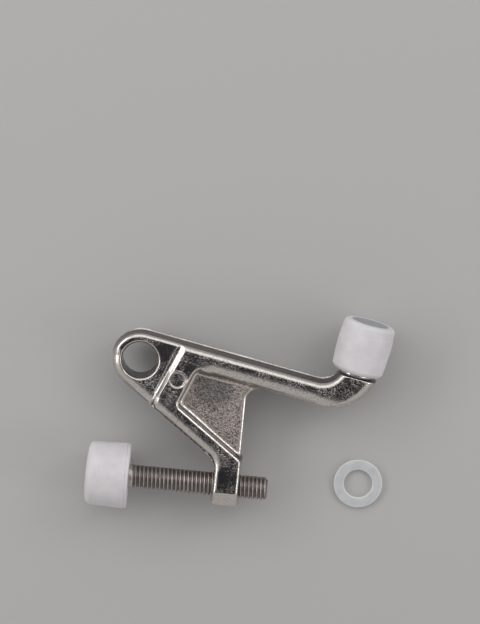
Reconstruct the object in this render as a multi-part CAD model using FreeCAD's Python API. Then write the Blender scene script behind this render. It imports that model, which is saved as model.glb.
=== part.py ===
import FreeCAD, Part
import math
import os

from FreeCAD import Vector

# Hinge pin door stop, lying on its side.
# Millimetres. The origin is the middle of the hinge pin bore.
# +Z is the bore's axis, +X runs with the adjusting screw towards its free end,
# and +Y points to the side that the door pad stands on.

# Hinge eye
bore_d = 8.8
bore_chamfer = 0.5
eye_d = 14.0
eye_t = 8.8

# Casting, two like halves that meet on the plane z = 0
body_t = 10.6
draft_deg = 5.0
step_start = 7.2
step_run = 1.5
edge_r_eye = 1.1
edge_r_arm_top = 1.5
edge_r_arm_low = 3.0
edge_r_leg = 0.7

# Upper arm, measured along the arm (s) and square to it (n) from the bore
arm_angle = 10.3
arm_w = 6.5
curl_inner_r = 5.0
curl_inner_deg = 63.0
curl_outer_r = 12.0
curl_outer_deg = 78.5
pad_post_s = 52.0
arm_end_n = 10.2
arm_end_w = 9.5
arm_end_offset = 0.6

# Collar and snap peg on the arm's end
collar_d = 8.1
collar_h = 0.9
peg_d = 5.2
peg_len = 7.0
peg_head_d = 6.4
peg_head_len = 2.4

# Lower leg and screw boss
leg_angle = 36.0
leg_w = 5.1
boss_x = 20.4
boss_w = 7.0
boss_end_y = -35.0
boss_corner_r = 1.2
boss_bend_r = 5.0
boss_bevel_len = 4.0
boss_bevel_depth = 2.8
ridge_corner_r = 1.5

# Recessed web between the arm and the leg
web_t = 4.8
web_inset = 0.55
web_edge_r = 0.7
web_corner_r = 2.75
recess_x = 13.9
recess_lean_deg = 22.0
recess_corner_r = 3.0
recess_point_r = 1.0
recess_into_arm = 0.4
head_fair_len = 4.0

# Round mark of an ejector pin on the upper face
mark_d = 3.9
mark_depth = 0.25
mark_x = 9.6
mark_y = -3.9

# Adjusting screw
screw_y = -30.0
screw_d = 5.9
screw_start_x = -0.2
screw_end_x = 34.1
screw_chamfer = 0.7
screw_head_d = 10.0
screw_head_t = 2.6
screw_neck_len = 4.2
run_clear = 0.05

# Jamb pad on the screw's head
jamb_pad_d = 16.4
jamb_pad_front_d = 15.6
jamb_pad_len = 10.6
jamb_flat_d = 9.0
jamb_crown = 0.35
jamb_front_chamfer = 1.0
jamb_back_chamfer = 0.5

# Door pad on the arm's peg
door_pad_base_d = 12.8
door_pad_max_d = 13.4
door_pad_top_d = 12.8
door_pad_len = 12.6
door_pad_widest_at = 0.6
door_pad_base_chamfer = 0.7
door_pad_top_chamfer = 0.8
door_pad_rim_w = 1.0
door_pad_dish_depth = 0.8
door_pad_dish_flat_d = 5.0
pad_seat_gap = 0.05

# Loose washer for the hinge, lying beside the stop
washer_d = 12.1
washer_bore_d = 7.1
washer_t = 1.2
washer_chamfer = 0.2
washer_x = 56.65
washer_y = -27.95

# How far one form runs into the next, how far a cutting form stands past what it cuts,
# and a length past the whole model
run_in = 1.5
cut_over = 1.0
far_past = 200.0

# Worked out from the sizes above
half_eye = eye_t / 2.0
half_body = body_t / 2.0
eye_r = eye_d / 2.0
arm_rad = math.radians(arm_angle)
leg_rad = math.radians(leg_angle)
mid_rad = (arm_rad + leg_rad) / 2.0
arm_low_n = eye_r - arm_w
boss_right = boss_x + boss_w
pad_seat_n = arm_end_n + collar_h + pad_seat_gap
leg_inner = eye_r - leg_w
arm_dir = Vector(math.cos(arm_rad), -math.sin(arm_rad), 0)
leg_dir = Vector(math.cos(leg_rad), -math.sin(leg_rad), 0)
TINY = 1e-4


def arm_point(s, n):
    """A point on the middle plane, given along and square to the upper arm."""
    x = s * math.cos(arm_rad) + n * math.sin(arm_rad)
    y = n * math.cos(arm_rad) - s * math.sin(arm_rad)
    return Vector(x, y, 0)


def along_arm(point):
    """How far along the upper arm a point lies."""
    return point.dot(arm_dir)


def leg_point(x, offset):
    """A point at x on the line that runs with the leg, offset outwards from the bore."""
    y = -(offset + x * math.sin(leg_rad)) / math.cos(leg_rad)
    return Vector(x, y, 0)


def corner_arc(before, corner, after, radius):
    """Tangent arc that rounds one corner of an outline, with its two ends."""
    to_before = (before - corner).normalize()
    to_after = (after - corner).normalize()
    half_angle = to_before.getAngle(to_after) / 2.0
    cut = radius / math.tan(half_angle)
    start = corner + to_before * cut
    end = corner + to_after * cut
    inward = (to_before + to_after).normalize()
    centre = corner + inward * (radius / math.sin(half_angle))
    middle = centre - inward * radius
    return start, middle, end


def outline(corners):
    """Closed wire through corners of (point, radius), with rounded corners as arcs."""
    count = len(corners)
    ends = []
    for i, (point, radius) in enumerate(corners):
        before = corners[i - 1][0]
        after = corners[(i + 1) % count][0]
        if radius > 0:
            ends.append(corner_arc(before, point, after, radius))
        else:
            ends.append((point, None, point))
    edges = []
    for i, (start, middle, end) in enumerate(ends):
        if middle is not None:
            edges.append(Part.Arc(start, middle, end).toShape())
        following = ends[(i + 1) % count][0]
        if (following - end).Length > TINY:
            edges.append(Part.LineSegment(end, following).toShape())
    return Part.Wire(edges)


def crossing(point_a, dir_a, point_b, dir_b):
    """Where two lines in the XY plane meet."""
    det = dir_a.x * dir_b.y - dir_a.y * dir_b.x
    gap = point_b - point_a
    along = (gap.x * dir_b.y - gap.y * dir_b.x) / det
    return point_a + dir_a * along


def inset_corners(corners, inset):
    """The same outline moved inwards all round; its corners run anticlockwise."""
    count = len(corners)
    moved = []
    for i, (point, radius) in enumerate(corners):
        to_here = (point - corners[i - 1][0]).normalize()
        onward = (corners[(i + 1) % count][0] - point).normalize()
        left_here = Vector(-to_here.y, to_here.x, 0) * inset
        left_onward = Vector(-onward.y, onward.x, 0) * inset
        corner = crossing(point + left_here, to_here, point + left_onward, onward)
        turns_left = to_here.x * onward.y - to_here.y * onward.x > 0
        if radius > 0:
            radius = radius - inset if turns_left else radius + inset
        moved.append((corner, radius))
    return moved


def drafted_side(low, high):
    """Side face between an edge of the outline and its smaller copy above."""
    if isinstance(low.Curve, Part.Line):
        low_start, low_end = low.valueAt(low.FirstParameter), low.valueAt(low.LastParameter)
        high_start, high_end = high.valueAt(high.FirstParameter), high.valueAt(high.LastParameter)
        return Part.Face(Part.makePolygon([low_start, low_end, high_end, high_start, low_start]))
    return Part.makeLoft([Part.Wire(low), Part.Wire(high)], False, True).Faces[0]


def drafted(corners, height):
    """Solid that rises from an outline on the parting plane and tapers by the draft angle."""
    low = outline(corners)
    high = outline(inset_corners(corners, height * math.tan(math.radians(draft_deg))))
    high.translate(Vector(0, 0, height))
    faces = [Part.Face(low), Part.Face(high)]
    for low_edge, high_edge in zip(low.OrderedEdges, high.OrderedEdges):
        faces.append(drafted_side(low_edge, high_edge))
    shell = Part.makeShell(faces)
    shell.sewShape()
    solid = Part.Solid(Part.Shell(shell.Faces))
    if solid.Volume < 0:
        solid.reverse()
    return solid


def rim_beside(half, height, point):
    """The rim edge of a half form's face that passes nearest to a point of the parting plane."""
    rims = [edge for edge in half.Edges if edge.BoundBox.ZMin > height - TINY]
    probe = Part.Vertex(point + Vector(0, 0, height))
    return min(rims, key=lambda edge: edge.distToShape(probe)[0])


def half_casting(corners, height, edge_r):
    """Upper half of a cast form: drafted sides from the parting plane, rounded at the face."""
    solid = drafted(corners, height)
    rims = [edge for edge in solid.Edges if edge.BoundBox.ZMin > height - TINY]
    return solid.makeFillet(edge_r, rims)


def both_halves(half):
    """A half form joined to its mirror image below the parting plane."""
    return half.fuse(half.mirror(Vector(0, 0, 0), Vector(0, 0, 1))).removeSplitter()


def prism(points, direction):
    """Solid swept straight from a flat polygon."""
    face = Part.Face(Part.makePolygon(points + [points[0]]))
    return face.extrude(direction)


def bisector_point(t, across, z):
    """A point given along the middle line between the arm and the leg."""
    x = t * math.cos(mid_rad) + across * math.sin(mid_rad)
    y = across * math.cos(mid_rad) - t * math.sin(mid_rad)
    return Vector(x, y, z)


def across_prism(profile):
    """Profile of (t, z) points swept across the middle line in both directions."""
    points = [bisector_point(t, -far_past, z) for t, z in profile]
    return prism(points, bisector_point(0, 2 * far_past, 0))


def thick_zone():
    """Space of the thicker body, with the sloped step on both faces."""
    rise = half_body - half_eye
    slope_end = step_start + step_run * (rise + cut_over) / rise
    top = half_body + cut_over
    return across_prism([
        (step_start, -half_eye),
        (step_start, half_eye),
        (slope_end, top),
        (far_past, top),
        (far_past, -top),
        (slope_end, -top),
    ])


def make_eye():
    """Thinner eye that tapers into the arm and the leg, as far as just past the step."""
    reach = step_start + 4 * run_in
    tip_t = -eye_r / math.sin((leg_rad - arm_rad) / 2.0)
    leg_touch = Vector(-eye_r * math.sin(leg_rad), -eye_r * math.cos(leg_rad), 0)
    corners = [
        (bisector_point(tip_t, 0, 0), eye_r),
        (leg_touch + leg_dir * reach, 0),
        (arm_point(reach, eye_r), 0),
    ]
    eye = both_halves(half_casting(corners, half_eye, edge_r_eye))
    past_step = step_start + run_in
    keep = across_prism([
        (-far_past, -body_t),
        (-far_past, body_t),
        (past_step, body_t),
        (past_step, -body_t),
    ])
    return eye.common(keep)


def make_arm():
    """Upper arm with the curl that turns up to the door pad, rounded most along its lower side."""
    inner_slope = 1.0 / math.tan(math.radians(curl_inner_deg))
    outer_slope = 1.0 / math.tan(math.radians(curl_outer_deg))
    end_mid = pad_post_s + arm_end_offset
    end_left = end_mid - arm_end_w / 2.0
    end_right = end_mid + arm_end_w / 2.0
    over = 4 * run_in
    corners = [
        (arm_point(0, eye_r), 0),
        (arm_point(0, arm_low_n), 0),
        (arm_point(end_right - (arm_end_n - arm_low_n) * outer_slope, arm_low_n), curl_outer_r),
        (arm_point(end_right + over * outer_slope, arm_end_n + over), 0),
        (arm_point(end_left + over * inner_slope, arm_end_n + over), 0),
        (arm_point(end_left - (arm_end_n - eye_r) * inner_slope, eye_r), curl_inner_r),
    ]
    half = drafted(corners, half_body)
    for edge_r, side_n in ((edge_r_arm_low, arm_low_n), (edge_r_arm_top, eye_r)):
        half = half.makeFillet(edge_r, [rim_beside(half, half_body, arm_point(pad_post_s / 2.0, side_n))])
    arm = both_halves(half)
    below_end = prism([
        arm_point(-far_past, arm_end_n),
        arm_point(far_past, arm_end_n),
        arm_point(far_past, -far_past),
        arm_point(-far_past, -far_past),
    ], Vector(0, 0, 2 * body_t))
    below_end.translate(Vector(0, 0, -body_t))
    return arm.common(below_end)


def recess_corner(line_point, line_dir):
    """Where the leaning left side of the recess meets another line."""
    side_foot = Vector(recess_x, arm_point(recess_x, arm_low_n).y, 0)
    lean = math.radians(recess_lean_deg)
    return crossing(side_foot, Vector(math.sin(lean), math.cos(lean), 0), line_point, line_dir)


def make_leg():
    """Head between the arm and the leg, the leg itself and the screw boss."""
    arm_mid = eye_r - arm_w / 2.0
    in_arm = recess_corner(arm_point(0, arm_low_n + recess_into_arm), arm_dir)
    corners = [
        (arm_point(0, arm_mid), 0),
        (Vector(-eye_r * math.sin(leg_rad), -eye_r * math.cos(leg_rad), 0), 0),
        (leg_point(boss_x, eye_r), boss_bend_r),
        (Vector(boss_x, boss_end_y, 0), boss_corner_r),
        (Vector(boss_right, boss_end_y, 0), boss_corner_r),
        (leg_point(boss_right, leg_inner), ridge_corner_r),
        (recess_corner(leg_point(0, leg_inner), leg_dir), recess_point_r),
        (in_arm, recess_corner_r),
        (arm_point(along_arm(in_arm) + head_fair_len, arm_mid), 0),
    ]
    leg = both_halves(half_casting(corners, half_body, edge_r_leg))
    for side in (1, -1):
        leg = leg.cut(boss_bevel(side))
    return leg


def boss_bevel(side):
    """Wedge that bevels the boss's end on one face."""
    left = boss_x - cut_over
    run = Vector(0, -boss_bevel_len, -side * boss_bevel_depth)
    top = Vector(left, boss_end_y + boss_bevel_len, side * half_body)
    high = top - run
    low = top + run * 2
    outside = Vector(left, low.y, high.z)
    return prism([high, low, outside], Vector(boss_w + 2 * cut_over, 0, 0))


def make_web():
    """Thin plate that closes the triangle between the arm and the leg."""
    web_right = boss_right - web_inset
    arm_mid = eye_r - arm_w / 2.0
    leg_mid = eye_r - leg_w / 2.0
    top = crossing(arm_point(0, arm_low_n), arm_dir, Vector(web_right, 0, 0), Vector(0, 1, 0))
    past_top = along_arm(top) + web_corner_r + run_in
    wire = outline([
        (arm_point(step_start + 2 * run_in, arm_mid), 0),
        (leg_point(step_start + run_in, leg_mid), 0),
        (leg_point(web_right, leg_mid), 0),
        (top, web_corner_r),
        (arm_point(past_top, arm_low_n), 0),
        (arm_point(past_top, arm_mid), 0),
    ])
    plate = Part.Face(wire).extrude(Vector(0, 0, web_t))
    plate.translate(Vector(0, 0, -web_t / 2.0))
    rims = []
    for edge in plate.Edges:
        box = edge.BoundBox
        if box.ZLength < TINY and box.XMin > web_right - TINY and box.YMax < top.y + TINY:
            rims.append(edge)
    return plate.makeFillet(web_edge_r, rims)


def turned(profile, base, axis, side):
    """Solid of revolution from (radius, height, rounding) corners about an axis through base."""
    corners = []
    for radius, height, rounding in profile:
        corners.append((base + axis * height + side * radius, rounding))
    return Part.Face(outline(corners)).revolve(base, axis, 360)


def turned_on_screw_axis(profile):
    """Solid of revolution about the adjusting screw's axis; heights are X."""
    return turned(profile, Vector(0, screw_y, 0), Vector(1, 0, 0), Vector(0, 1, 0))


def pad_frame():
    """Foot of the door pad's axis on the arm's line, and the axis's two directions."""
    return arm_point(pad_post_s, 0), Vector(math.sin(arm_rad), math.cos(arm_rad), 0), arm_dir


def peg_profile(grow, start_n):
    """Neck and snap head of the peg, grown all round by a clearance."""
    neck = peg_d / 2.0 + grow
    head = peg_head_d / 2.0 + grow
    top = pad_seat_n + peg_len + grow
    under = pad_seat_n + peg_len - peg_head_len - grow
    return [
        (0, start_n, 0),
        (neck, start_n, 0),
        (neck, under, 0),
        (head, under, 0),
        (head, top, 0),
        (0, top, 0),
    ]


def make_peg():
    """Collar and peg that stand on the arm's end."""
    seat = arm_end_n + collar_h
    collar_r = collar_d / 2.0
    profile = [(0, arm_end_n, 0), (collar_r, arm_end_n, 0), (collar_r, seat, 0), (0, seat, 0)]
    collar = turned(profile, *pad_frame())
    peg = turned(peg_profile(0, arm_end_n - run_in), *pad_frame())
    return collar.fuse(peg)


def make_bracket():
    """The one-piece die casting."""
    zone = thick_zone()
    body = make_arm().common(zone).fuse(make_leg().common(zone))
    body = body.fuse(make_eye()).fuse(make_web()).fuse(make_peg())
    return body.cut(pin_bore()).cut(screw_hole()).cut(ejector_mark())


def pin_bore():
    """Hinge pin bore with a chamfer at each mouth."""
    r = bore_d / 2.0
    end = half_eye + cut_over
    mouth = r + bore_chamfer + cut_over
    profile = [
        (0, -end, 0),
        (mouth, -end, 0),
        (r, -half_eye + bore_chamfer, 0),
        (r, half_eye - bore_chamfer, 0),
        (mouth, end, 0),
        (0, end, 0),
    ]
    return turned(profile, Vector(0, 0, 0), Vector(0, 0, 1), Vector(1, 0, 0))


def screw_hole():
    """Hole through the boss that the screw runs in."""
    r = screw_d / 2.0 + run_clear
    return Part.makeCylinder(r, boss_w + 2 * cut_over, Vector(boss_x - cut_over, screw_y, 0), Vector(1, 0, 0))


def ejector_mark():
    """Shallow round pocket in the upper face."""
    floor = Vector(mark_x, mark_y, half_body - mark_depth)
    return Part.makeCylinder(mark_d / 2.0, mark_depth + cut_over, floor)


def screw_profile(grow):
    """Head and shank of the screw, grown by a clearance, up to where the shank goes on."""
    shank = screw_d / 2.0 + grow
    head = screw_head_d / 2.0 + grow
    back = screw_start_x - screw_neck_len + grow
    front = screw_start_x - screw_neck_len - screw_head_t - grow
    return [(0, front, 0), (head, front, 0), (head, back, 0), (shank, back, 0)]


def make_screw():
    """Adjusting screw with its round head inside the jamb pad."""
    r = screw_d / 2.0
    tip = [(r, screw_end_x - screw_chamfer, 0), (r - screw_chamfer, screw_end_x, 0), (0, screw_end_x, 0)]
    return turned_on_screw_axis(screw_profile(0) + tip)


def make_jamb_pad():
    """Round pad that presses on the door casing, moulded round the screw's head."""
    front = screw_start_x - jamb_pad_len
    back = screw_start_x
    back_r = jamb_pad_d / 2.0
    front_r = jamb_pad_front_d / 2.0
    pad = turned_on_screw_axis([
        (0, back, 0),
        (back_r - jamb_back_chamfer, back, 0),
        (back_r, back - jamb_back_chamfer, 0),
        (front_r, front + jamb_crown + jamb_front_chamfer, 0),
        (front_r - jamb_front_chamfer, front + jamb_crown, 0),
        (jamb_flat_d / 2.0, front, 0),
        (0, front, 0),
    ])
    mouth_r = screw_d / 2.0 + run_clear
    mouth = [(mouth_r, back + cut_over, 0), (0, back + cut_over, 0)]
    return pad.cut(turned_on_screw_axis(screw_profile(run_clear) + mouth))


def make_door_pad():
    """Barrel-shaped pad that the door meets, dished at its free end and snapped on the peg."""
    base = pad_seat_n
    top = base + door_pad_len
    base_r = door_pad_base_d / 2.0
    top_r = door_pad_top_d / 2.0
    rim_out = top_r - door_pad_top_chamfer
    profile = [
        (0, base, 0),
        (base_r - door_pad_base_chamfer, base, 0),
        (base_r, base + door_pad_base_chamfer, 0),
        (door_pad_max_d / 2.0, base + door_pad_len * door_pad_widest_at, 0),
        (top_r, top - door_pad_top_chamfer, 0),
        (rim_out, top, 0),
        (rim_out - door_pad_rim_w, top, 0),
        (door_pad_dish_flat_d / 2.0, top - door_pad_dish_depth, 0),
        (0, top - door_pad_dish_depth, 0),
    ]
    pad = turned(profile, *pad_frame())
    return pad.cut(turned(peg_profile(run_clear, base - cut_over), *pad_frame()))


def make_washer():
    """Flat washer that lies on what the stop rests on."""
    base = Vector(washer_x, washer_y, -jamb_pad_d / 2.0)
    outer = washer_d / 2.0
    bore = washer_bore_d / 2.0
    cut = washer_chamfer
    return turned([
        (bore + cut, 0, 0),
        (outer - cut, 0, 0),
        (outer, cut, 0),
        (outer, washer_t - cut, 0),
        (outer - cut, washer_t, 0),
        (bore + cut, washer_t, 0),
        (bore, washer_t - cut, 0),
        (bore, cut, 0),
    ], base, Vector(0, 0, 1), Vector(1, 0, 0))


os.makedirs("parts", exist_ok=True)
pieces = {
    "bracket": make_bracket(),
    "adjusting_screw": make_screw(),
    "jamb_pad": make_jamb_pad(),
    "door_pad": make_door_pad(),
    "hinge_washer": make_washer(),
}
for name, shape in pieces.items():
    print(name, "solids", len(shape.Solids), "valid", shape.isValid(), "volume", round(shape.Volume, 2))
    shape.exportStep("parts/" + name + ".step")
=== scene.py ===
import math

import bmesh
import bpy
from mathutils import Matrix, Vector, noise


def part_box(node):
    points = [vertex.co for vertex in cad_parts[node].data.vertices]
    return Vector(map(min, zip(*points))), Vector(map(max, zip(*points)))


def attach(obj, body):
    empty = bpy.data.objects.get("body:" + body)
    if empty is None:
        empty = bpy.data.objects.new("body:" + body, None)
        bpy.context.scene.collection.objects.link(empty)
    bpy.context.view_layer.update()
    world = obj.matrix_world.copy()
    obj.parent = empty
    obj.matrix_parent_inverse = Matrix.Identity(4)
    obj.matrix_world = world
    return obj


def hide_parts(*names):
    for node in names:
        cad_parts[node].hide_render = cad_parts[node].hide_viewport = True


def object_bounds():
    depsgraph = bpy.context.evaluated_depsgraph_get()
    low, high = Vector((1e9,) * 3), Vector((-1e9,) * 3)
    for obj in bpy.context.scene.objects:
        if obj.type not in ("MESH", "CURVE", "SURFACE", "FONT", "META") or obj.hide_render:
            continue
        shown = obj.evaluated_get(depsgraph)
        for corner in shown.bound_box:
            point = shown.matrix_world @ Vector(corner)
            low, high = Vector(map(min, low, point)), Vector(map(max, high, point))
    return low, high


# Hinge pin door stop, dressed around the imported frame.
# Metres, in the frame's own axes: +Z is the hinge pin bore's axis, +X runs with the
# adjusting screw towards its free end, and the stop lies flat on its side.
# A pair of numbers named as a range gives where a fade is 0 and where it is 1.

MM = 0.001

# Camera
IMAGE_LONG_SIDE = 624
PIXELS_PER_MM = 4.07
CAMERA_TILT = math.radians(9.5)
CAMERA_ROLL = math.radians(5.5)
CAMERA_DISTANCE = 0.80
CAMERA_CLIP = (0.01, 20.0)
VIEW_RIGHT = 24.45 * MM
VIEW_UP = 11.1 * MM
SENSOR = 36.0

# Surround
WORLD_STRENGTH = 1.10
NEAR_SIDE_DIMMING = -0.30
NEAR_SIDE_RANGE = (0.1, -0.8)
FLOOR_HALF = 2.0
LAMP_DISTANCE = 0.6

# Lamps: name, azimuth and elevation in degrees, width and height, power in watts
LAMPS = (
    ("left_softbox", 165, 34, (0.72, 0.14), 0.90),
    ("top_softbox", 95, 45, (0.60, 0.50), 0.50),
    ("right_softbox", 45, 38, (0.20, 0.20), 0.32),
    ("far_right_softbox", 352, 30, (0.20, 0.20), 0.30),
)

# Colours, linear
CHROME_BRIGHT = (0.64, 0.605, 0.58, 1)
CHROME_DARK = (0.22, 0.205, 0.20, 1)
CHROME_WEB = (0.54, 0.48, 0.455, 1)
# painted dark reflection for the casting's upper side walls
CHROME_SIDE_SHADE = (0.13, 0.12, 0.118, 1)
# painted shade for the thread's roots
THREAD_ROOT_SHADE = (0.23, 0.205, 0.20, 1)
THREAD_DARK = (0.40, 0.355, 0.34, 1)
THREAD_LIGHT = (0.62, 0.575, 0.555, 1)
RUBBER_DARK = (0.66, 0.645, 0.68, 1)
RUBBER_LIGHT = (0.76, 0.745, 0.775, 1)
# painted shade inside the door pad's dished end
RUBBER_DISH_SHADE = (0.27, 0.30, 0.33, 1)
NYLON_DARK = (0.62, 0.64, 0.66, 1)
NYLON_LIGHT = (0.72, 0.74, 0.755, 1)
# painted highlight on the washer's rims
NYLON_EDGE_HIGHLIGHT = (0.84, 0.86, 0.87, 1)
FLOOR = (0.50, 0.50, 0.495, 1)

# Chrome: where each look lies, by the surface's facing or its place, painted shade and painted
# dark reflection among them
FLAT_RANGE = (0.970, 0.993)
STEEP_RANGE = (0.42, 0.22)
UPPER_SIDE_RANGE = (0.0, 0.35)
CREVICE_SHADE_RANGE = (0.47, 0.40)
WEB_DEPTH_RANGE = (3.4 * MM, 2.6 * MM)
BOSS_RANGE = (-23.5 * MM, -26.2 * MM)
MARK_FADE = 0.1 * MM
# painted shade: the middle of the web, down in the recess, is darkened
WEB_SHADE_CENTRE = (18.4 * MM, -5.8 * MM, 2.3 * MM)
WEB_SHADE_REACH = (2.5 * MM, 7.0 * MM)
# painted shade line along the foot of the eye's step
STEP_SHADE_LINE = 7.75 * MM
STEP_SHADE_LINE_RANGE = (0.34 * MM, 0.14 * MM)
STEP_SHADE_LINE_LOWER_RANGE = (1.6 * MM, 0.4 * MM)

# Chrome: features a metre, and heights of the relief
WAVE_SCALE, WAVE_RELIEF = 420, 0.16 * MM
PEEL_SCALE, PEEL_RELIEF = 1100, 0.07 * MM
PIT_SCALE, LUMP_SCALE, SKIN_RELIEF = 2500, 2900, 0.03 * MM
PEBBLE_SCALE, PEBBLE_RELIEF = 2000, 0.09 * MM
PATCH_SCALE = 210
BLOTCH_SCALE = 850
LUMP_OFFSET = (0.3, 0.1, 0.2)

# Casting: sizes of its solid
DRAFT = math.tan(math.radians(5.0))
HALF_EYE = 4.4 * MM
HALF_BODY = 5.3 * MM
EYE_R = 7.0 * MM
STEP_START = 7.2 * MM
STEP_END = 8.7 * MM
MID_ANGLE = math.radians(23.15)
ARM_ANGLE = math.radians(10.3)
ARM_LOW = 0.5 * MM
CURL_START = 45.6 * MM
CURL_R = 12.0 * MM
LEG_ANGLE = math.radians(36.0)
BEND_ALONG = 27.7 * MM
BEND_X = 15.4 * MM
BEND_Y = -26.02 * MM
BEND_R = 5.0 * MM
BOSS_X = 20.4 * MM
MARK_PLACE = (9.6 * MM, -3.9 * MM, 5.1 * MM)
MARK_R = 1.95 * MM

# Casting: its skin, and the rounding of the outer lower edge
CAST_VOXEL = 0.23 * MM
CAST_SOFTENING = 4
OUTER_EDGE_R = 1.8 * MM
OUTER_EDGE_RUN = 1.6
EYE_OUTWARD = (0.59, 0.81)
EYE_OUTWARD_RANGE = (-0.1, 0.5)
BOSS_EDGE_R = 0.75 * MM
BOSS_EDGE_RANGE = (BEND_Y, -22 * MM)
EDGE_END_RANGE = (-31 * MM, -30 * MM)

# Casting: crown of the arm
CROWN_RUN = 4.2 * MM
CROWN_DROP = 3.2 * MM
CROWN_FROM_X = 10 * MM
CROWN_START_RANGE = (14 * MM, 18 * MM)
CROWN_END_RANGE = (56 * MM, 42 * MM)

# Casting: recess and its web
RECESS_ARM = 0.7 * MM
RECESS_LEG = 2.2 * MM
RECESS_X = 8 * MM
WEB_MIDDLE = (17.4 * MM, -8.2 * MM)
WEB_REACH = 7.5 * MM
WEB_DISH = 0.35 * MM
WEB_FACE = (2.1 * MM, 2.6 * MM)
WEB_FOOT = (2.2 * MM, 4.0 * MM)
WEB_SOFTENING = 10

# Casting: step beside the eye
STEP_REACH = (2 * MM, 1 * MM)
STEP_LOWER_RANGE = (5 * MM, -5 * MM)
STEP_NARROWING = (0.35 * MM, 0.40 * MM)
STEP_DEPTH_RANGE = (2.5 * MM, 4.2 * MM)
STEP_GROOVE = 0.13 * MM
GROOVE_HALF = 0.45 * MM

# Casting: burr beside the round mark
BURR_HEIGHT = 0.16 * MM
BURR_OFFSET = 0.22 * MM
BURR_HALF = 0.40 * MM
BURR_FROM_Z = 4.8 * MM
BURR_SLOPE = 0.6
BURR_SIDE_RANGE = (-0.2, 0.7)

# Casting: shift between the dies, and places that keep clear of it
DIE_SHIFT = 0.36 * MM
DIE_WAVE_SCALE = 250
LEDGE_RANGE = (0.12 * MM, 0)
SHIFT_RANGE = (-3.5 * MM, -0.3 * MM)
BORE_KEEP = 5.2 * MM
SCREW_HOLE_KEEP = 3.4 * MM
COLLAR_KEEP = 9.6 * MM
LEDGE_HALF = 0.35 * MM
LEDGE_FACING = (0.30, 0.98)

# Screw and its thread
SCREW_Y = -30.0 * MM
PITCH = 1.0 * MM
CREST_R = 2.95 * MM
THREAD_DEPTH = 0.61 * MM
THREAD_START = 0.35 * MM
CREST_RANGE = (2.30 * MM, 3.0 * MM)
CREST_SHARE = 0.125
ROOT_SHARE = 0.25
HEAD_LEN = 2.6 * MM
NECK_LEN = 0.4 * MM
END_STEP = 0.12 * MM
TURN_SEGMENTS = 64
POINTS_PER_PITCH = 8

# Pads and washer
PAD_ALONG = 52.0 * MM
PAD_BASE = 11.15 * MM
PAD_LEN = 12.6 * MM
DISH_RISE = 12.0 * MM
DISH_R_RANGE = (15.0 * MM, 13.5 * MM)
DISH_RIM = (4.3 * MM, 4.9 * MM)
WASHER_PLACE = (56.65 * MM, -27.95 * MM)
WASHER_BORE_R = 3.55 * MM
WASHER_OUTER_RANGE = (5.65 * MM, 6.0 * MM)
WASHER_INNER_RANGE = (3.95 * MM, 3.6 * MM)
DRAW_FROM_R = 4 * MM
MARGIN = 0.02 * MM
CLOSE_R = 0.01 * MM
PAD_SEGMENTS = 128
SAME_PLACE = 1e-7

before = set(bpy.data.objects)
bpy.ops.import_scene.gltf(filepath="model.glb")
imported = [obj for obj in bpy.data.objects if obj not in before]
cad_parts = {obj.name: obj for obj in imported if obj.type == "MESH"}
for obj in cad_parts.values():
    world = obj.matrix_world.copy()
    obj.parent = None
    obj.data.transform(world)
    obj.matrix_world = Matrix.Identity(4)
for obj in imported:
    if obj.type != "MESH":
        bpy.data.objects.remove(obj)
cad_low, cad_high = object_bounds()


def add_object(name, data):
    """New object in the scene's own collection."""
    made = bpy.data.objects.new(name, data)
    bpy.context.scene.collection.objects.link(made)
    return made


def mesh_data(mesh, name):
    """Mesh data from a bmesh, which is freed."""
    data = bpy.data.meshes.new(name)
    mesh.to_mesh(data)
    mesh.free()
    return data


def basis(x_axis, y_axis, z_axis, place):
    """Matrix with the given axes and place."""
    turn = Matrix((x_axis, y_axis, z_axis)).transposed()
    return Matrix.Translation(place) @ turn.to_4x4()


def camera_axes():
    """Right, up and backward directions of the camera."""
    back = Vector((0, math.sin(CAMERA_TILT), math.cos(CAMERA_TILT)))
    level_right = Vector((1, 0, 0))
    level_up = back.cross(level_right)
    right = level_right * math.cos(CAMERA_ROLL) + level_up * math.sin(CAMERA_ROLL)
    up = level_up * math.cos(CAMERA_ROLL) - level_right * math.sin(CAMERA_ROLL)
    return right, up, back


def make_camera():
    """Camera at the photograph's angle, with a long lens."""
    right, up, back = camera_axes()
    data = bpy.data.cameras.new("camera")
    data.sensor_width = SENSOR
    data.lens = SENSOR * CAMERA_DISTANCE / (IMAGE_LONG_SIDE / PIXELS_PER_MM * MM)
    data.clip_start, data.clip_end = CAMERA_CLIP
    camera = add_object("camera", data)
    place = right * VIEW_RIGHT + up * VIEW_UP + back * CAMERA_DISTANCE
    camera.matrix_world = basis(right, up, back, place)
    bpy.context.scene.camera = camera


def node(tree, kind, inputs=None, **settings):
    """New shader node; inputs maps socket names or numbers to values or other sockets."""
    made = tree.nodes.new(kind)
    for name, value in settings.items():
        setattr(made, name, value)
    for key, value in (inputs or {}).items():
        if isinstance(value, bpy.types.NodeSocket):
            tree.links.new(value, made.inputs[key])
        else:
            made.inputs[key].default_value = value
    return made


def mix_colour(tree, factor, first, second):
    """Output of a colour mix."""
    made = node(tree, "ShaderNodeMix", data_type="RGBA")
    tree.links.new(factor, made.inputs[0])
    for socket, value in ((made.inputs[6], first), (made.inputs[7], second)):
        if isinstance(value, bpy.types.NodeSocket):
            tree.links.new(value, socket)
        else:
            socket.default_value = value
    return made.outputs[2]


def math_node(tree, operation, first, second=0.0, third=0.0, clamp=False):
    """Output of a math node."""
    made = node(tree, "ShaderNodeMath", {0: first, 1: second, 2: third}, operation=operation)
    made.use_clamp = clamp
    return made.outputs[0]


def product(tree, first, second):
    """Two values multiplied."""
    return math_node(tree, "MULTIPLY", first, second)


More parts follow.
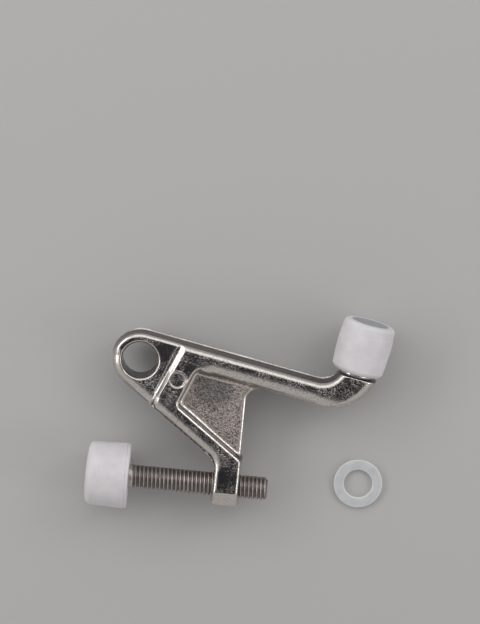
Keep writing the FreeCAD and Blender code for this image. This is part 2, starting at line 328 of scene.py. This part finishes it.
def scaled(tree, value, factor, offset, clamp=False):
    """A value times a factor, plus an offset."""
    return math_node(tree, "MULTIPLY_ADD", value, factor, offset, clamp)


def highest(tree, first, *others):
    """The largest of several values."""
    top = first
    for value in others:
        top = math_node(tree, "MAXIMUM", top, value)
    return top


def ramp(tree, value, stops):
    """Output of a colour ramp with (position, brightness or colour) stops."""
    made = node(tree, "ShaderNodeValToRGB", {0: value})
    elements = made.color_ramp.elements
    while len(elements) < len(stops):
        elements.new(0.5)
    for element, (position, colour) in zip(elements, stops):
        element.position = position
        element.color = colour if isinstance(colour, tuple) else (colour, colour, colour, 1)
    return made.outputs[0]


def smooth_step(tree, value, low, high):
    """0 below low, 1 above high, eased between; low may be the larger."""
    made = node(
        tree, "ShaderNodeMapRange",
        {"Value": value, "From Min": low, "From Max": high},
        interpolation_type="SMOOTHSTEP",
    )
    return made.outputs[0]


def new_material(name, values):
    """Node material with a Principled shader; values maps the shader's inputs to numbers."""
    material = bpy.data.materials.new(name)
    material.use_nodes = True
    tree = material.node_tree
    tree.nodes.clear()
    shader = node(tree, "ShaderNodeBsdfPrincipled", values)
    output = node(tree, "ShaderNodeOutputMaterial")
    tree.links.new(shader.outputs[0], output.inputs["Surface"])
    return material, tree, shader


def dress(tree, shader, colour, roughness, normal):
    """Link a shader's colour, roughness and normal."""
    for name, value in (("Base Color", colour), ("Roughness", roughness), ("Normal", normal)):
        tree.links.new(value, shader.inputs[name])


def object_place(tree):
    """Place on the piece, in metres."""
    return node(tree, "ShaderNodeTexCoord").outputs["Object"]


def split(tree, vector):
    """Outputs X, Y and Z of a vector."""
    return node(tree, "ShaderNodeSeparateXYZ", {0: vector}).outputs


def noise_tex(tree, place, scale, detail=3.0, rough=0.55):
    """Output of a noise texture; scale is in features per metre."""
    made = node(tree, "ShaderNodeTexNoise", {
        "Vector": place, "Scale": scale, "Detail": detail, "Roughness": rough,
    })
    return made.outputs[0]


def bump(tree, height, distance, strength=1.0, under=None):
    """Normal of a bump node; distance is in metres."""
    inputs = {"Height": height, "Distance": distance, "Strength": strength}
    if under is not None:
        inputs["Normal"] = under
    return node(tree, "ShaderNodeBump", inputs).outputs[0]


def distance_to(tree, place, centre):
    """Distance between two points."""
    away = node(tree, "ShaderNodeVectorMath", {0: place, 1: centre}, operation="DISTANCE")
    return away.outputs["Value"]


def near_point(tree, place, centre, inner, outer):
    """1 within the inner distance of a point, 0 beyond the outer one."""
    return smooth_step(tree, distance_to(tree, place, centre), outer, inner)


def step_shade_line(tree, parts):
    """Thin line of painted shade that runs down the lower half of the eye's step."""
    forward = product(tree, parts["X"], math.cos(MID_ANGLE))
    along = scaled(tree, parts["Y"], -math.sin(MID_ANGLE), forward)
    sideways = product(tree, parts["X"], math.sin(MID_ANGLE))
    across = scaled(tree, parts["Y"], math.cos(MID_ANGLE), sideways)
    away = math_node(tree, "ABSOLUTE", math_node(tree, "SUBTRACT", along, STEP_SHADE_LINE))
    line = smooth_step(tree, away, *STEP_SHADE_LINE_RANGE)
    return product(tree, line, smooth_step(tree, across, *STEP_SHADE_LINE_LOWER_RANGE))


def cast_chrome():
    """Bright plating over a die-cast skin: dark pitted flats, satin roundings, grainy web; painted
    shade in creases, along the eye's step, inside the round mark and in the web's middle, and
    painted dark reflection on the boss face and the upper side walls.
    """
    material, tree, shader = new_material("cast_chrome", {"Metallic": 1.0})
    place = object_place(tree)
    parts = split(tree, place)
    geometry = node(tree, "ShaderNodeNewGeometry")
    normal = split(tree, geometry.outputs["Normal"])
    up = math_node(tree, "ABSOLUTE", normal["Z"])
    depth = math_node(tree, "ABSOLUTE", parts["Z"])

    flat = smooth_step(tree, up, *FLAT_RANGE)
    web = product(tree, flat, smooth_step(tree, depth, *WEB_DEPTH_RANGE))
    face = math_node(tree, "SUBTRACT", flat, web)
    boss = product(tree, face, smooth_step(tree, parts["Y"], *BOSS_RANGE))
    steep = smooth_step(tree, up, *STEEP_RANGE)
    # painted dark reflection: walls facing up the page are darkened in their colour
    side = product(tree, steep, smooth_step(tree, normal["Y"], *UPPER_SIDE_RANGE))
    mark = near_point(tree, place, MARK_PLACE, MARK_R, MARK_R + MARK_FADE)
    web_shade_spot = near_point(tree, place, WEB_SHADE_CENTRE, *WEB_SHADE_REACH)

    moved = node(tree, "ShaderNodeVectorMath", {0: place, 1: LUMP_OFFSET}).outputs[0]
    waves = noise_tex(tree, place, WAVE_SCALE, 2, 0.5)
    peel = noise_tex(tree, place, PEEL_SCALE, 2, 0.5)
    pits = smooth_step(tree, noise_tex(tree, place, PIT_SCALE, 2, 0.6), 0.36, 0.46)
    lumps = smooth_step(tree, noise_tex(tree, moved, LUMP_SCALE, 2, 0.6), 0.56, 0.66)
    pebbles = smooth_step(tree, noise_tex(tree, place, PEBBLE_SCALE, 3, 0.65), 0.42, 0.58)
    patches = smooth_step(tree, noise_tex(tree, place, PATCH_SCALE, 3, 0.6), 0.32, 0.66)
    blotches = smooth_step(tree, noise_tex(tree, place, BLOTCH_SCALE, 2, 0.5), 0.38, 0.62)

    pitting = product(tree, scaled(tree, face, 0.44, 0.30), scaled(tree, patches, 0.62, 0.38))
    pitting = scaled(tree, boss, -0.10, pitting)
    wavy = bump(tree, waves, WAVE_RELIEF, 0.40)
    peeled = bump(tree, peel, PEEL_RELIEF, scaled(tree, face, 0.15, 0.55), wavy)
    skin = math_node(tree, "ADD", pits, lumps)
    pitted = bump(tree, skin, SKIN_RELIEF, pitting, peeled)
    grained = bump(tree, pebbles, PEBBLE_RELIEF, product(tree, web, 0.9), pitted)

    in_pits = math_node(tree, "SUBTRACT", 1.0, pits)
    hollow = product(tree, product(tree, face, in_pits), scaled(tree, patches, 0.5, 0.5))
    # painted shade: concave places are darkened by their pointiness
    crevice_shade = smooth_step(tree, geometry.outputs["Pointiness"], *CREVICE_SHADE_RANGE)
    # darker and rougher in the pits' hollows; painted shade in creases, along the step and inside
    # the round mark; painted dark reflection on the boss face
    dull_and_painted_shade = highest(
        tree, hollow, product(tree, in_pits, 0.4), crevice_shade, step_shade_line(tree, parts),
        product(tree, mark, 0.5), product(tree, boss, 0.60),
    )
    # random tone of grain and blotches, with painted shade in the web's middle
    web_tone_and_shade = scaled(tree, pebbles, -0.80, 0.80)
    web_tone_and_shade = scaled(tree, blotches, -0.50, web_tone_and_shade)
    web_tone_and_shade = scaled(tree, web_shade_spot, 0.85, web_tone_and_shade, True)

    shade = mix_colour(tree, dull_and_painted_shade, CHROME_BRIGHT, CHROME_DARK)
    web_shade = mix_colour(tree, web_tone_and_shade, CHROME_WEB, CHROME_DARK)
    shade = mix_colour(tree, web, shade, web_shade)
    shade = mix_colour(tree, side, shade, CHROME_SIDE_SHADE)
    rough = scaled(tree, face, -0.07, 0.19)
    rough = scaled(tree, web, 0.16, rough)
    rough = scaled(tree, dull_and_painted_shade, 0.12, rough)
    dress(tree, shader, shade, rough, grained)
    return material


def plated_steel():
    """Plated rolled thread: grey-brown crests, with painted shade in the roots."""
    material, tree, shader = new_material("plated_steel", {"Metallic": 0.9})
    place = object_place(tree)
    on_axis = node(tree, "ShaderNodeCombineXYZ", {"X": split(tree, place)["X"], "Y": SCREW_Y})
    away = distance_to(tree, place, on_axis.outputs[0])
    # painted shade: the colour darkens from the crests down into the roots
    crest = smooth_step(tree, away, *CREST_RANGE)
    blotches = noise_tex(tree, place, 900, 3, 0.6)
    scratches = noise_tex(tree, place, 5200, 2, 0.5)
    worn = ramp(tree, blotches, [(0.35, THREAD_DARK), (0.65, THREAD_LIGHT)])
    shade = mix_colour(tree, crest, THREAD_ROOT_SHADE, worn)
    rough = ramp(tree, blotches, [(0.3, 0.50), (0.7, 0.30)])
    nicks = bump(tree, noise_tex(tree, place, 1500, 2, 0.6), 0.10 * MM, 0.7)
    dress(tree, shader, shade, rough, bump(tree, scratches, 0.03 * MM, 0.9, nicks))
    return material


def pad_foot_and_axes():
    """Point on the arm's line under the door pad, the pad's axis, and a side direction."""
    axis = Vector((math.sin(ARM_ANGLE), math.cos(ARM_ANGLE), 0))
    side = Vector((math.cos(ARM_ANGLE), -math.sin(ARM_ANGLE), 0))
    return side * PAD_ALONG, axis, side


def white_rubber():
    """Soft white satin rubber with a faint unevenness, and painted shade inside the dished end."""
    material, tree, shader = new_material("white_rubber", {
        "Subsurface Weight": 0.25, "Subsurface Radius": (1.0, 0.9, 0.85),
        "Subsurface Scale": 1.2 * MM, "Specular IOR Level": 0.4,
    })
    place = object_place(tree)
    cloud = noise_tex(tree, place, 260, 3, 0.55)
    grain = noise_tex(tree, place, 4500, 3, 0.6)
    foot, axis, _ = pad_foot_and_axes()
    rim = foot + axis * (PAD_BASE + PAD_LEN)
    centre = foot + axis * (PAD_BASE + PAD_LEN + DISH_RISE)
    near_end = near_point(tree, place, tuple(rim), *DISH_RIM)
    away = distance_to(tree, place, tuple(centre))
    # painted shade inside the dished end
    dish = product(tree, near_end, smooth_step(tree, away, *DISH_R_RANGE))
    shade = ramp(tree, cloud, [(0.3, RUBBER_DARK), (0.7, RUBBER_LIGHT)])
    shade = mix_colour(tree, product(tree, dish, 0.85), shade, RUBBER_DISH_SHADE)
    rough = ramp(tree, grain, [(0.3, 0.42), (0.7, 0.56)])
    dress(tree, shader, shade, rough, bump(tree, grain, 0.02 * MM, 0.5))
    return material


def milky_nylon():
    """Natural nylon, milky and a little see-through, with a painted highlight at its rounded
    edges.
    """
    material, tree, shader = new_material("milky_nylon", {
        "Transmission Weight": 0.15, "IOR": 1.53, "Subsurface Weight": 0.4,
        "Subsurface Radius": (1.0, 1.0, 1.0), "Subsurface Scale": 1.2 * MM,
    })
    place = object_place(tree)
    cloud = noise_tex(tree, place, 420, 3, 0.55)
    grain = noise_tex(tree, place, 3600, 3, 0.6)
    x, y = WASHER_PLACE
    on_axis = node(tree, "ShaderNodeCombineXYZ", {"X": x, "Y": y, "Z": split(tree, place)["Z"]})
    away = distance_to(tree, place, on_axis.outputs[0])
    outer = smooth_step(tree, away, *WASHER_OUTER_RANGE)
    inner = smooth_step(tree, away, *WASHER_INNER_RANGE)
    shade = ramp(tree, cloud, [(0.3, NYLON_DARK), (0.7, NYLON_LIGHT)])
    # painted highlight: the colour is paler near the outer and inner rims
    shade = mix_colour(tree, highest(tree, outer, inner), shade, NYLON_EDGE_HIGHLIGHT)
    rough = ramp(tree, grain, [(0.3, 0.34), (0.7, 0.48)])
    dress(tree, shader, shade, rough, bump(tree, grain, 0.02 * MM, 0.5))
    return material


def finished(mesh, name, body, node_name, material):
    """Turn a bmesh into a smooth-shaded piece that stands for a node of the frame."""
    bmesh.ops.recalc_face_normals(mesh, faces=mesh.faces)
    data = mesh_data(mesh, name)
    for polygon in data.polygons:
        polygon.use_smooth = True
    data.materials.append(material)
    piece = add_object(name, data)
    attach(piece, body)
    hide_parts(node_name)
    return piece


def rings_to_mesh(rings, close_start, close_end):
    """Bmesh skin through rings of equal point counts, with a fan at each closed end."""
    mesh = bmesh.new()
    rows = [[mesh.verts.new(point) for point in ring] for ring in rings]
    count = len(rings[0])
    for low, high in zip(rows, rows[1:]):
        for i in range(count):
            j = (i + 1) % count
            mesh.faces.new((low[i], low[j], high[j], high[i]))
    for row, closed in ((rows[0], close_start), (rows[-1], close_end)):
        if not closed:
            continue
        middle = mesh.verts.new(sum((v.co for v in row), Vector()) / count)
        for i in range(count):
            mesh.faces.new((row[i], row[(i + 1) % count], middle))
    bmesh.ops.remove_doubles(mesh, verts=mesh.verts, dist=SAME_PLACE)
    return mesh


def ring(centre, axis, side, radius_at, height_at, count):
    """One ring of points about an axis; the radius and height may change with the angle."""
    across = axis.cross(side)
    points = []
    for i in range(count):
        angle = 2 * math.pi * i / count
        out = side * math.cos(angle) + across * math.sin(angle)
        points.append(centre + axis * height_at(angle) + out * radius_at(angle))
    return points


def lathe_rings(profile, centre, axis, side, count):
    """Rings of a plain turned form from (radius, height) points."""
    return [
        ring(centre, axis, side, lambda a, r=r: r, lambda a, h=h: h, count)
        for r, h in profile
    ]


def rounded(points, steps=6):
    """Profile of (radius, height) points from corners of (radius, height, rounding)."""
    made = []
    for i, (r, h, rounding) in enumerate(points):
        here = Vector((r, h))
        if rounding == 0 or i in (0, len(points) - 1):
            made.append((r, h))
            continue
        before = (Vector(points[i - 1][:2]) - here).normalized()
        after = (Vector(points[i + 1][:2]) - here).normalized()
        half = before.angle(after) / 2
        cut = rounding / math.tan(half)
        centre = here + (before + after).normalized() * (rounding / math.sin(half))
        start = here + before * cut - centre
        end = here + after * cut - centre
        sweep = start.angle_signed(end)
        for k in range(steps + 1):
            turn = Matrix.Rotation(-sweep * k / steps, 2)
            spot = centre + turn @ start
            made.append((spot.x, spot.y))
    return made


def thread_height(phase):
    """Thread profile over one pitch: 1 on the crest, 0 in the root."""
    crest = CREST_SHARE / 2
    root = 0.5 - ROOT_SHARE / 2
    away = min(phase, 1 - phase)
    if away <= crest:
        return 1.0
    if away >= root:
        return 0.0
    return (root - away) / (root - crest)


def make_screw(material):
    """Adjusting screw with a real right-hand helical thread."""
    low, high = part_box("adjusting_screw")
    axis = Vector((1, 0, 0))
    side = Vector((0, 1, 0))
    centre = Vector((0, (low.y + high.y) / 2, (low.z + high.z) / 2))
    head_r = (high.y - low.y) / 2
    end = high.x
    end_r = CREST_R - THREAD_DEPTH - END_STEP
    head = rounded([
        (CLOSE_R, low.x, 0),
        (head_r, low.x, 0.5 * MM),
        (head_r, low.x + HEAD_LEN, 0.4 * MM),
        (CREST_R, low.x + HEAD_LEN, 0.3 * MM),
        (CREST_R, THREAD_START - NECK_LEN, 0),
        (CREST_R, THREAD_START, 0),
    ])
    rings = lathe_rings(head, centre, axis, side, TURN_SEGMENTS)
    step = PITCH / POINTS_PER_PITCH
    first = int(-PITCH / step)
    last = int((end - THREAD_START) / step) + 1

    def height_at(row):
        """Place along the screw on one row of the helix, by the angle."""
        def at(angle):
            x = THREAD_START + row * step + PITCH * angle / (2 * math.pi)
            return min(max(x, THREAD_START), end)
        return at

    def radius_at(row):
        """Radius on one row of the helix, by the angle, with the run-out and the end's chamfer."""
        height = height_at(row)

        def at(angle):
            x = height(angle)
            phase = ((x - THREAD_START) / PITCH - angle / (2 * math.pi)) % 1.0
            depth = THREAD_DEPTH * (1 - thread_height(phase))
            run_out = min(1.0, (x - THREAD_START) / PITCH)
            return min(CREST_R - depth * run_out, end_r + (end - x))
        return at

    for row in range(first, last + 1):
        rings.append(ring(centre, axis, side, radius_at(row), height_at(row), TURN_SEGMENTS))
    mesh = rings_to_mesh(rings, True, True)
    bmesh.ops.dissolve_degenerate(mesh, edges=mesh.edges, dist=SAME_PLACE)
    return finished(mesh, "screw_with_thread", "screw", "adjusting_screw", material)


def draw_in(mesh, centre, axis, amount, scale):
    """Draw the outer points in towards an axis by soft uneven amounts, as moulded rubber does."""
    for vert in mesh.verts:
        foot = centre + axis * (vert.co - centre).dot(axis)
        out = vert.co - foot
        if out.length > DRAW_FROM_R:
            wave = noise.noise(vert.co * scale) * 0.5 + 0.5
            vert.co = foot + out * (1 - amount * wave / out.length)


def make_jamb_pad(material):
    """Large pad with soft edges, moulded round the screw's head, a little wider at its back."""
    low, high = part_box("jamb_pad")
    centre = Vector((0, (low.y + high.y) / 2, (low.z + high.z) / 2))
    back_r = (high.y - low.y) / 2 - MARGIN
    back = high.x - MARGIN / 2
    lip_r = back_r - 0.20 * MM
    front_r = 7.78 * MM
    front = low.x + MARGIN
    head_r = 5.05 * MM
    head_front = -7.05 * MM
    head_back = -4.35 * MM
    hole_r = 3.0 * MM
    profile = rounded([
        (CLOSE_R, head_front, 0),
        (head_r, head_front, 0),
        (head_r, head_back, 0),
        (hole_r, head_back, 0),
        (hole_r, back, 0.25 * MM),
        (lip_r, back, 0.35 * MM),
        (lip_r, back - 0.75 * MM, 0.08 * MM),
        (back_r, back - 0.95 * MM, 0.06 * MM),
        (front_r + 0.14 * MM, front + 3.0 * MM, 6.0 * MM),
        (front_r, front + 0.40 * MM, 1.6 * MM),
        (4.5 * MM, front, 3.0 * MM),
        (CLOSE_R, front, 0),
    ])
    axis = Vector((1, 0, 0))
    side = Vector((0, 1, 0))
    mesh = rings_to_mesh(lathe_rings(profile, centre, axis, side, PAD_SEGMENTS), True, True)
    draw_in(mesh, centre, axis, amount=0.06 * MM, scale=160)
    return finished(mesh, "jamb_pad_soft", "jamb_end", "jamb_pad", material)


def make_door_pad(material):
    """Small barrel-shaped pad with a shallow dish and a faint moulding line."""
    foot, axis, side = pad_foot_and_axes()
    base = PAD_BASE
    top = base + PAD_LEN - MARGIN
    peg_r = 3.25 * MM
    peg_end = base + 7.05 * MM
    peg_start = base + 4.55 * MM
    hole_r = 2.65 * MM
    profile = rounded([
        (CLOSE_R, peg_end, 0),
        (peg_r, peg_end, 0),
        (peg_r, peg_start, 0),
        (hole_r, peg_start, 0),
        (hole_r, base, 0.2 * MM),
        (5.75 * MM, base, 0.3 * MM),
        (6.40 * MM, base + 0.8 * MM, 0.8 * MM),
        (6.62 * MM, base + 4.2 * MM, 8.0 * MM),
        (6.69 * MM, base + 7.5 * MM, 8.0 * MM),
        (6.58 * MM, base + 9.7 * MM, 0.1 * MM),
        (6.52 * MM, base + 9.8 * MM, 0.1 * MM),
        (6.40 * MM, top, 1.2 * MM),
        (4.7 * MM, top, 0.7 * MM),
        (3.0 * MM, top - 0.66 * MM, 3.0 * MM),
        (CLOSE_R, top - 0.8 * MM, 0),
    ])
    mesh = rings_to_mesh(lathe_rings(profile, foot, axis, side, PAD_SEGMENTS), True, True)
    draw_in(mesh, foot, axis, amount=0.05 * MM, scale=180)
    return finished(mesh, "door_pad_soft", "casting", "door_pad", material)


def make_washer(material):
    """Flat nylon washer with softened edges."""
    low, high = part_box("hinge_washer")
    centre = Vector(((low.x + high.x) / 2, (low.y + high.y) / 2, 0))
    outer = (high.x - low.x) / 2
    middle = (WASHER_BORE_R + outer) / 2
    corners = [
        (middle, low.z, 0),
        (outer, low.z, 0.2 * MM),
        (outer, high.z, 0.25 * MM),
        (WASHER_BORE_R, high.z, 0.25 * MM),
        (WASHER_BORE_R, low.z, 0.2 * MM),
        (middle - CLOSE_R, low.z, 0),
    ]
    axis = Vector((0, 0, 1))
    side = Vector((1, 0, 0))
    rings = lathe_rings(rounded(corners), centre, axis, side, PAD_SEGMENTS)
    mesh = rings_to_mesh(rings + [rings[0]], False, False)
    return finished(mesh, "washer_soft", "casting", "hinge_washer", material)


def blend(value, low, high):
    """0 below low, 1 above high, straight between; low may be the larger."""
    return min(max((value - low) / (high - low), 0.0), 1.0)


def hump(value, middle, half_width):
    """Smooth bump of height 1 about a middle, 0 beyond its half width."""
    away = min(abs(value - middle) / half_width, 1.0)
    return 0.5 + 0.5 * math.cos(math.pi * away)


def quarter_round(share):
    """Drop of a quarter circle: 1 at its outer end, 0 where it meets the flat."""
    return 1 - math.sqrt(1 - (1 - share) ** 2)


def turned(point, angle):
    """A point's places along and across a line that falls by an angle from the +X axis."""
    along = point.x * math.cos(angle) - point.y * math.sin(angle)
    across = point.x * math.sin(angle) + point.y * math.cos(angle)
    return along, across


def cap_height(point, height):
    """Hold a point within a height of the parting plane, on its own side."""
    point.z = math.copysign(min(abs(point.z), height), point.z)


def step_height(along, start, end):
    """Height of the casting's face over the parting plane, on the way down the eye's step."""
    return HALF_EYE + (HALF_BODY - HALF_EYE) * blend(along, start, end)


def outer_edge(point):
    """How far a point lies inside the lower left outline, and the rounding wanted there."""
    along, across = turned(point, LEG_ANGLE)
    lean = DRAFT * abs(point.z)
    if along < 0:
        from_bore = math.hypot(point.x, point.y)
        facing = -(point.x * EYE_OUTWARD[0] + point.y * EYE_OUTWARD[1]) / max(from_bore, MM)
        return EYE_R - lean - from_bore, OUTER_EDGE_R * blend(facing, *EYE_OUTWARD_RANGE)
    if along < BEND_ALONG:
        return EYE_R - lean + across, OUTER_EDGE_R
    edge_r = BOSS_EDGE_R + (OUTER_EDGE_R - BOSS_EDGE_R) * blend(point.y, *BOSS_EDGE_RANGE)
    if point.y > BEND_Y:
        return math.hypot(point.x - BEND_X, point.y - BEND_Y) - BEND_R - lean, edge_r
    return point.x - BOSS_X - lean, edge_r * blend(point.y, *EDGE_END_RANGE)


def ease_outer_edge(point):
    """Round the casting's outer lower edge more than the sharp ridges above it."""
    inward, edge_r = outer_edge(point)
    run = edge_r * OUTER_EDGE_RUN
    if 0 <= inward < run:
        along = turned(point, MID_ANGLE)[0]
        face = step_height(along, STEP_START, STEP_END)
        cap_height(point, face - edge_r * quarter_round(inward / run))


def under_arm(point):
    """How far a point lies inside the arm's lower outline, and its place along the arm."""
    along, up_arm = turned(point, ARM_ANGLE)
    lean = DRAFT * abs(point.z)
    if along < CURL_START:
        return up_arm - ARM_LOW - lean, along
    return CURL_R - math.hypot(along - CURL_START, up_arm - ARM_LOW - CURL_R) - lean, along


def crown_arm(point):
    """Crown the arm's face from its upper ridge down to its lower side."""
    inward, along = under_arm(point)
    if not 0 <= inward < CROWN_RUN or point.x < CROWN_FROM_X:
        return
    share = blend(along, *CROWN_START_RANGE) * blend(along, *CROWN_END_RANGE)
    cap_height(point, HALF_BODY - CROWN_DROP * quarter_round(inward / CROWN_RUN) * share)


def dish_web(point):
    """Sink the middle of the thin web a little."""
    away = math.hypot(point.x - WEB_MIDDLE[0], point.y - WEB_MIDDLE[1]) / WEB_REACH
    if away < 1 and WEB_FACE[0] < abs(point.z) < WEB_FACE[1]:
        point.z -= math.copysign(WEB_DISH * (1 - away ** 2), point.z)


def in_recess(point):
    """Whether a point lies between the arm's lower side and the leg's upper side."""
    up_arm = turned(point, ARM_ANGLE)[1]
    under_leg = -turned(point, LEG_ANGLE)[1]
    return up_arm < RECESS_ARM and under_leg < RECESS_LEG and point.x > RECESS_X


def shift_low_half(point, normal):
    """Move the lower half's outer side up the page a little, as dies that don't quite meet do."""
    from_bore = math.hypot(point.x, point.y)
    from_screw = math.hypot(point.y - SCREW_Y, point.z)
    up_arm = turned(point, ARM_ANGLE)[1]
    inside = from_bore < BORE_KEEP or from_screw < SCREW_HOLE_KEEP
    if normal.y <= 0 or inside or up_arm > COLLAR_KEEP:
        return
    wave = noise.noise(point * DIE_WAVE_SCALE) * 0.5 + 0.5
    near_parting = blend(point.z, *LEDGE_RANGE) * blend(point.z, *SHIFT_RANGE)
    point.y += DIE_SHIFT * (0.7 + 0.3 * wave) * near_parting * normal.y


def shape_step(point):
    """Narrow the eye's step towards its lower end, and let a fine groove run along its foot."""
    along, across = turned(point, MID_ANGLE)
    if not STEP_START - STEP_REACH[0] < along < STEP_END + STEP_REACH[1]:
        return
    lower = blend(across, *STEP_LOWER_RANGE)
    start = STEP_START + STEP_NARROWING[0] * lower
    end = STEP_END - STEP_NARROWING[1] * lower
    groove = STEP_GROOVE * hump(along, start - GROOVE_HALF, GROOVE_HALF)
    change = step_height(along, start, end) - step_height(along, STEP_START, STEP_END) - groove
    point.z += math.copysign(change * blend(abs(point.z), *STEP_DEPTH_RANGE), point.z)


def raise_burr(point):
    """Leave a low burr on one side of the round mark."""
    if point.z < BURR_FROM_Z:
        return
    x = point.x - MARK_PLACE[0]
    y = point.y - MARK_PLACE[1]
    away = math.hypot(x, y)
    side = blend((x + BURR_SLOPE * y) / max(away, 0.1 * MM), *BURR_SIDE_RANGE)
    point.z += BURR_HEIGHT * side * hump(away, MARK_R + BURR_OFFSET, BURR_HALF)


def sharpen_ledge(piece):
    """Flat shading on the fine ledge where the two halves meet."""
    low, high = LEDGE_FACING
    for polygon in piece.data.polygons:
        if abs(polygon.center.z) < LEDGE_HALF and low < polygon.normal.z < high:
            polygon.use_smooth = False


def casting_skin():
    """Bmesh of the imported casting, remeshed finely and with its edges softened."""
    source = add_object("casting_source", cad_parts["bracket"].data.copy())
    remesh = source.modifiers.new("remesh", "REMESH")
    remesh.mode = "VOXEL"
    remesh.voxel_size = CAST_VOXEL
    soften = source.modifiers.new("soften", "SMOOTH")
    soften.factor = 0.5
    soften.iterations = CAST_SOFTENING
    bpy.context.view_layer.update()
    evaluated = source.evaluated_get(bpy.context.evaluated_depsgraph_get())
    data = bpy.data.meshes.new_from_object(evaluated)
    bpy.data.objects.remove(source)
    data.materials.clear()
    mesh = bmesh.new()
    mesh.from_mesh(data)
    bpy.data.meshes.remove(data)
    return mesh


def make_bracket(material):
    """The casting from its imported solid, with softened edges and a fine parting line."""
    mesh = casting_skin()
    mesh.normal_update()
    low, high = WEB_FOOT
    feet = [vert for vert in mesh.verts if low < abs(vert.co.z) < high and in_recess(vert.co)]
    for vert in feet:
        dish_web(vert.co)
    for _ in range(WEB_SOFTENING):
        bmesh.ops.smooth_vert(
            mesh, verts=feet, factor=0.5, use_axis_x=True, use_axis_y=True, use_axis_z=True,
        )
    mesh.normal_update()
    for vert in mesh.verts:
        shape_step(vert.co)
        ease_outer_edge(vert.co)
        crown_arm(vert.co)
        raise_burr(vert.co)
        shift_low_half(vert.co, vert.normal)
    piece = finished(mesh, "casting", "casting", "bracket", material)
    sharpen_ledge(piece)


def make_floor():
    """Plain pale floor under the stop."""
    mesh = bmesh.new()
    half = FLOOR_HALF
    corners = [(-half, -half), (half, -half), (half, half), (-half, half)]
    mesh.faces.new([mesh.verts.new((x, y, cad_low.z)) for x, y in corners])
    data = mesh_data(mesh, "floor")
    material = new_material("floor", {
        "Base Color": FLOOR, "Roughness": 0.9, "Specular IOR Level": 0.1,
    })[0]
    data.materials.append(material)
    floor = add_object("floor", data)


def make_world():
    """Soft studio surround: bright at its sides, dark overhead where the casting's flats look."""
    world = bpy.data.worlds.new("studio")
    bpy.context.scene.world = world
    world.use_nodes = True
    tree = world.node_tree
    tree.nodes.clear()
    direction = node(tree, "ShaderNodeTexCoord").outputs["Generated"]
    seen_by_flats = (0, -math.sin(CAMERA_TILT), math.cos(CAMERA_TILT))
    toward = node(
        tree, "ShaderNodeVectorMath", {0: direction, 1: seen_by_flats}, operation="DOT_PRODUCT",
    )
    level = ramp(tree, toward.outputs["Value"], [
        (0.0, (0.48, 0.47, 0.46, 1)),
        (0.40, (0.70, 0.675, 0.655, 1)),
        (0.82, (0.64, 0.62, 0.605, 1)),
        (0.89, (0.28, 0.275, 0.275, 1)),
        (0.935, (0.060, 0.060, 0.065, 1)),
        (1.0, (0.030, 0.030, 0.034, 1)),
    ])
    near_side = smooth_step(tree, split(tree, direction)["Y"], *NEAR_SIDE_RANGE)
    strength = scaled(tree, near_side, NEAR_SIDE_DIMMING, WORLD_STRENGTH)
    background = node(tree, "ShaderNodeBackground", {"Color": level, "Strength": strength})
    output = node(tree, "ShaderNodeOutputWorld")
    tree.links.new(background.outputs[0], output.inputs["Surface"])


def make_lamp(name, azimuth, elevation, size, power):
    """Softbox aimed at the middle of the stop."""
    target = (cad_low + cad_high) / 2
    azimuth = math.radians(azimuth)
    elevation = math.radians(elevation)
    away = Vector((
        math.cos(azimuth) * math.cos(elevation),
        math.sin(azimuth) * math.cos(elevation),
        math.sin(elevation),
    ))
    data = bpy.data.lights.new(name, "AREA")
    data.shape = "RECTANGLE"
    data.size, data.size_y = size
    data.energy = power
    lamp = add_object(name, data)
    lamp.location = target + away * LAMP_DISTANCE
    lamp.rotation_euler = away.to_track_quat("Z", "Y").to_euler()


bpy.context.scene.view_settings.view_transform = "Standard"
make_camera()
make_world()
make_floor()
for lamp in LAMPS:
    make_lamp(*lamp)
rubber = white_rubber()
make_bracket(cast_chrome())
make_screw(plated_steel())
make_jamb_pad(rubber)
make_door_pad(rubber)
make_washer(milky_nylon())
